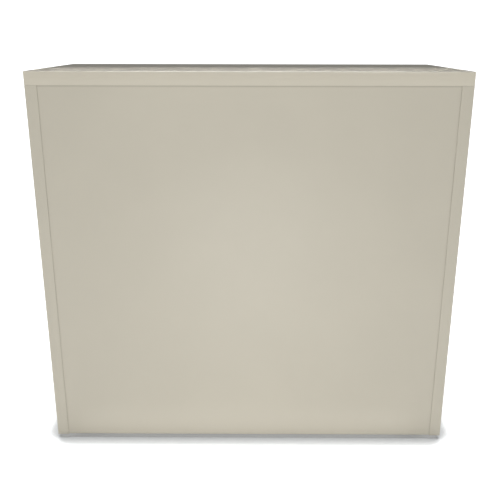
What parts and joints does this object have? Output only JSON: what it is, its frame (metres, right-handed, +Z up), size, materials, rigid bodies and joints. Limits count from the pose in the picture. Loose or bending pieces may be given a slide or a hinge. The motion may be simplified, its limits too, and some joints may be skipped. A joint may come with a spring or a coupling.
{
  "type": "metal filing cabinet",
  "caption": "Free-standing steel lateral filing cabinet with full-width hanging-file drawers on ball-bearing slides, a cam lock and levelling glides.",
  "frame": {"origin": "centre of the bounding box's bottom face, at floor level", "axes": "+Z up, drawer fronts face -Y, the plain back faces +Y, +X to the right seen from the front"},
  "size_m": [1.067, 0.483, 0.994],
  "materials": {
    "case_paint": "satin putty powder coat",
    "drawer_paint": "satin putty powder coat",
    "galvanised_steel": "galvanised sheet",
    "raw_steel": "black primer",
    "zinc_plate": "bright zinc",
    "nickel_plate": "polished nickel",
    "brushed_nickel": "brushed nickel",
    "rubber": "soft black rubber",
    "nylon": "natural nylon"
  },
  "bodies": {
    "case": {"top_cover": "case_paint", "right_side_panel": "case_paint", "left_side_panel": "case_paint", "back_panel": "case_paint", "base_pan": "case_paint", "toe_kick": "case_paint", "base_rails": "galvanised_steel", "slide_posts": "galvanised_steel", "cross_rails": "galvanised_steel", "drawer_bumpers": "rubber", "lock_rail": "galvanised_steel", "counterweight": "raw_steel", "case_fasteners": "zinc_plate", "lock_housing": "nickel_plate", "bar_guides": "nylon", "slide_case_members": "zinc_plate"},
    "lower_drawer": {"lower_drawer_front": "drawer_paint", "lower_drawer_liner": "drawer_paint", "lower_drawer_sides": "drawer_paint", "lower_drawer_tray": "drawer_paint", "lower_hang_rails": "galvanised_steel", "lower_pull": "brushed_nickel", "lower_label_holder": "brushed_nickel", "lower_drawer_fasteners": "zinc_plate", "lower_slide_drawer_members": "zinc_plate"},
    "lower_middle_members": {"lower_slide_middle_members": "zinc_plate"},
    "lower_outer_cages": {"lower_slide_outer_cages": "zinc_plate"},
    "lower_inner_cages": {"lower_slide_inner_cages": "zinc_plate"},
    "middle_drawer": {"middle_drawer_front": "drawer_paint", "middle_drawer_liner": "drawer_paint", "middle_drawer_sides": "drawer_paint", "middle_drawer_tray": "drawer_paint", "middle_hang_rails": "galvanised_steel", "middle_pull": "brushed_nickel", "middle_label_holder": "brushed_nickel", "middle_drawer_fasteners": "zinc_plate", "middle_slide_drawer_members": "zinc_plate"},
    "middle_middle_members": {"middle_slide_middle_members": "zinc_plate"},
    "middle_outer_cages": {"middle_slide_outer_cages": "zinc_plate"},
    "middle_inner_cages": {"middle_slide_inner_cages": "zinc_plate"},
    "upper_drawer": {"upper_drawer_front": "drawer_paint", "upper_drawer_liner": "drawer_paint", "upper_drawer_sides": "drawer_paint", "upper_drawer_tray": "drawer_paint", "upper_hang_rails": "galvanised_steel", "upper_pull": "brushed_nickel", "upper_label_holder": "brushed_nickel", "upper_drawer_fasteners": "zinc_plate", "upper_slide_drawer_members": "zinc_plate"},
    "upper_middle_members": {"upper_slide_middle_members": "zinc_plate"},
    "upper_outer_cages": {"upper_slide_outer_cages": "zinc_plate"},
    "upper_inner_cages": {"upper_slide_inner_cages": "zinc_plate"},
    "lock_core": {"lock_core": "nickel_plate"},
    "lock_key": {"lock_key": "nickel_plate"},
    "lock_bar": {"lock_bar": "zinc_plate"},
    "interlock_bar": {"interlock_bar": "zinc_plate"},
    "left_front_glide": {"left_front_glide": "zinc_plate"},
    "left_rear_glide": {"left_rear_glide": "zinc_plate"},
    "right_front_glide": {"right_front_glide": "zinc_plate"},
    "right_rear_glide": {"right_rear_glide": "zinc_plate"}
  },
  "joints": [
    {"name": "lower_drawer_slide", "type": "slide", "parent": "case", "child": "lower_drawer", "axis": [0, -1, 0], "range_m": [0, 0.385]},
    {"name": "lower_middle_members_slide", "type": "slide", "parent": "case", "child": "lower_middle_members", "axis": [0, -1, 0], "range_m": [0, 0.193]},
    {"name": "lower_outer_cages_slide", "type": "slide", "parent": "case", "child": "lower_outer_cages", "axis": [0, -1, 0], "range_m": [0, 0.09675]},
    {"name": "lower_inner_cages_slide", "type": "slide", "parent": "case", "child": "lower_inner_cages", "axis": [0, -1, 0], "range_m": [0, 0.28925]},
    {"name": "middle_drawer_slide", "type": "slide", "parent": "case", "child": "middle_drawer", "axis": [0, -1, 0], "range_m": [0, 0.385]},
    {"name": "middle_middle_members_slide", "type": "slide", "parent": "case", "child": "middle_middle_members", "axis": [0, -1, 0], "range_m": [0, 0.193]},
    {"name": "middle_outer_cages_slide", "type": "slide", "parent": "case", "child": "middle_outer_cages", "axis": [0, -1, 0], "range_m": [0, 0.09675]},
    {"name": "middle_inner_cages_slide", "type": "slide", "parent": "case", "child": "middle_inner_cages", "axis": [0, -1, 0], "range_m": [0, 0.28925]},
    {"name": "upper_drawer_slide", "type": "slide", "parent": "case", "child": "upper_drawer", "axis": [0, -1, 0], "range_m": [0, 0.385]},
    {"name": "upper_middle_members_slide", "type": "slide", "parent": "case", "child": "upper_middle_members", "axis": [0, -1, 0], "range_m": [0, 0.193]},
    {"name": "upper_outer_cages_slide", "type": "slide", "parent": "case", "child": "upper_outer_cages", "axis": [0, -1, 0], "range_m": [0, 0.09675]},
    {"name": "upper_inner_cages_slide", "type": "slide", "parent": "case", "child": "upper_inner_cages", "axis": [0, -1, 0], "range_m": [0, 0.28925]},
    {"name": "lock_turn", "type": "hinge", "parent": "case", "child": "lock_core", "pos_m": [0.486, -0.2155, 0.9775], "axis": [0, 1, 0], "range_deg": [0, 90]},
    {"name": "key_pull", "type": "slide", "parent": "lock_core", "child": "lock_key", "axis": [0, -1, 0], "range_m": [0, 0.022]},
    {"name": "lock_bar_lift", "type": "slide", "parent": "case", "child": "lock_bar", "axis": [0, 0, 1], "range_m": [0, 0.01]},
    {"name": "interlock_bar_lift", "type": "slide", "parent": "case", "child": "interlock_bar", "axis": [0, 0, 1], "range_m": [0, 0.01]},
    {"name": "left_front_glide_height", "type": "slide", "parent": "case", "child": "left_front_glide", "axis": [0, 0, -1], "range_m": [0, 0.02]},
    {"name": "left_rear_glide_height", "type": "slide", "parent": "case", "child": "left_rear_glide", "axis": [0, 0, -1], "range_m": [0, 0.02]},
    {"name": "right_front_glide_height", "type": "slide", "parent": "case", "child": "right_front_glide", "axis": [0, 0, -1], "range_m": [0, 0.02]},
    {"name": "right_rear_glide_height", "type": "slide", "parent": "case", "child": "right_rear_glide", "axis": [0, 0, -1], "range_m": [0, 0.02]}
  ],
  "couplings": [
    {"joint": "lower_middle_members_slide", "follows": "lower_drawer_slide", "ratio": 0.5},
    {"joint": "lower_outer_cages_slide", "follows": "lower_drawer_slide", "ratio": 0.25},
    {"joint": "lower_inner_cages_slide", "follows": "lower_drawer_slide", "ratio": 0.75},
    {"joint": "middle_middle_members_slide", "follows": "middle_drawer_slide", "ratio": 0.5},
    {"joint": "middle_outer_cages_slide", "follows": "middle_drawer_slide", "ratio": 0.25},
    {"joint": "middle_inner_cages_slide", "follows": "middle_drawer_slide", "ratio": 0.75},
    {"joint": "upper_middle_members_slide", "follows": "upper_drawer_slide", "ratio": 0.5},
    {"joint": "upper_outer_cages_slide", "follows": "upper_drawer_slide", "ratio": 0.25},
    {"joint": "upper_inner_cages_slide", "follows": "upper_drawer_slide", "ratio": 0.75},
    {"joint": "lock_turn", "follows": "lock_bar_lift", "rad_per_m": 157.08}
  ]
}
